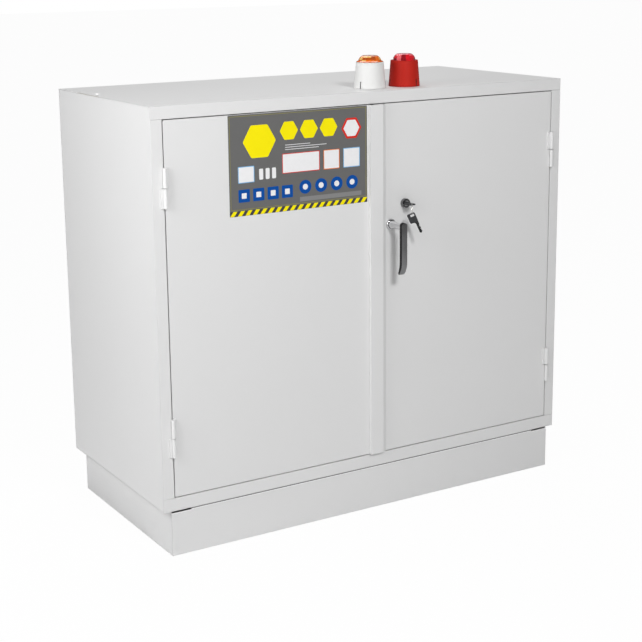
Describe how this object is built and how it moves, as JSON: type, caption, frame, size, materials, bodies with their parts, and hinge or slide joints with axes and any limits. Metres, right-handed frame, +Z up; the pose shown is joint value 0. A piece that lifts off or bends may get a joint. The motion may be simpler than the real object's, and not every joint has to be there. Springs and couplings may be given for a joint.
{
  "type": "battery cabinet",
  "caption": "Low two-door fire-resistant steel cabinet for charging batteries, on a plinth, with lever handle, key lock, inner shelf, socket strips and two beacons on top.",
  "frame": {"origin": "on the floor, below the middle of the cabinet's whole outline", "axes": "+X to the right seen from the front, +Y to the back, +Z up"},
  "size_m": [1.1, 0.5796, 1.07],
  "materials": {
    "light_grey_powder_coat": "smooth satin powder coat",
    "inner_powder_coat": "satin powder coat",
    "insulation_board": "matt mineral board",
    "seal_rubber": "matt",
    "zinc_plated_steel": "bright zinc plate",
    "bright_chrome": "polished",
    "dark_plastic": "fine grain",
    "black_plastic": "fine grain",
    "white_plastic": "satin moulding",
    "red_plastic": "satin moulding",
    "amber_lens": "clear faceted lens",
    "red_lens": "clear faceted lens"
  },
  "bodies": {
    "cabinet": {"plinth_front": "light_grey_powder_coat", "plinth_back": "light_grey_powder_coat", "plinth_sides": "light_grey_powder_coat", "casing_bottom": "light_grey_powder_coat", "casing_top": "light_grey_powder_coat", "casing_left": "light_grey_powder_coat", "casing_right": "light_grey_powder_coat", "casing_back": "light_grey_powder_coat", "insulation_left": "insulation_board", "insulation_right": "insulation_board", "insulation_top": "insulation_board", "insulation_bottom": "insulation_board", "insulation_back": "insulation_board", "lining_top": "inner_powder_coat", "lining_bottom": "inner_powder_coat", "lining_left": "inner_powder_coat", "lining_right": "inner_powder_coat", "lining_back": "inner_powder_coat", "frame_seal": "seal_rubber", "frame_knuckles": "light_grey_powder_coat", "hinge_pins": "zinc_plated_steel", "rod_keepers": "zinc_plated_steel", "shelf_rails": "zinc_plated_steel", "shelf_brackets": "zinc_plated_steel", "shelf": "inner_powder_coat", "upper_socket_strip": "black_plastic", "lower_socket_strip": "black_plastic", "control_unit": "black_plastic", "smoke_detector": "white_plastic", "cable_gland": "dark_plastic", "gland_nut": "dark_plastic", "amber_beacon_body": "white_plastic", "amber_beacon_lens": "amber_lens", "red_beacon_body": "red_plastic", "red_beacon_lens": "red_lens"},
    "left_door": {"left_door_skin": "light_grey_powder_coat", "left_door_insulation": "insulation_board", "left_door_pan": "inner_powder_coat", "left_door_knuckles": "light_grey_powder_coat"},
    "right_door": {"right_door_skin": "light_grey_powder_coat", "right_door_insulation": "insulation_board", "right_door_pan": "inner_powder_coat", "right_door_knuckles": "light_grey_powder_coat", "lip_seal": "seal_rubber", "rosette": "bright_chrome", "lock_plate": "zinc_plated_steel", "lock_cover": "inner_powder_coat", "rod_guides": "zinc_plated_steel", "lock_housing": "bright_chrome"},
    "handle": {"lever": "bright_chrome", "spindle": "zinc_plated_steel", "crank_hub": "zinc_plated_steel"},
    "upper_rod": {"upper_rod": "zinc_plated_steel"},
    "lower_rod": {"lower_rod": "zinc_plated_steel"},
    "lock_core": {"lock_plug": "bright_chrome", "lock_cam": "zinc_plated_steel", "key": "dark_plastic"},
    "key_ring": {"key_ring": "zinc_plated_steel"},
    "spare_key": {"spare_key": "dark_plastic"}
  },
  "joints": [
    {"name": "right_door_hinge", "type": "hinge", "parent": "cabinet", "child": "right_door", "pos_m": [0.5225, -0.23725, 0.55], "axis": [0, 0, 1], "range_deg": [0, 110]},
    {"name": "left_door_hinge", "type": "hinge", "parent": "cabinet", "child": "left_door", "pos_m": [-0.5225, -0.23725, 0.55], "axis": [0, 0, -1], "range_deg": [0, 110]},
    {"name": "handle_turn", "type": "hinge", "parent": "right_door", "child": "handle", "pos_m": [0.048, -0.23225, 0.686], "axis": [0, -1, 0], "range_deg": [0, 90]},
    {"name": "upper_rod_slide", "type": "slide", "parent": "right_door", "child": "upper_rod", "axis": [0, 0, 1], "range_m": [0, 0.01561]},
    {"name": "lower_rod_slide", "type": "slide", "parent": "right_door", "child": "lower_rod", "axis": [0, 0, -1], "range_m": [0, 0.01561]},
    {"name": "lock_turn", "type": "hinge", "parent": "right_door", "child": "lock_core", "pos_m": [0.087, -0.23225, 0.732], "axis": [0, -1, 0], "range_deg": [0, 90]},
    {"name": "key_ring_swing", "type": "hinge", "parent": "lock_core", "child": "key_ring", "pos_m": [0.089, -0.25945, 0.732], "axis": [0.5446, 0.8387, 0], "range_deg": [-8, 8]},
    {"name": "spare_key_swing", "type": "hinge", "parent": "key_ring", "child": "spare_key", "pos_m": [0.08354, -0.26786, 0.70947], "axis": [0.5446, 0.8387, 0], "range_deg": [-8, 25]}
  ],
  "couplings": [
    {"joint": "left_door_hinge", "follows": "right_door_hinge", "ratio": 1},
    {"joint": "upper_rod_slide", "follows": "handle_turn", "m_per_rad": 0.0099035},
    {"joint": "lower_rod_slide", "follows": "handle_turn", "m_per_rad": 0.0099035}
  ]
}
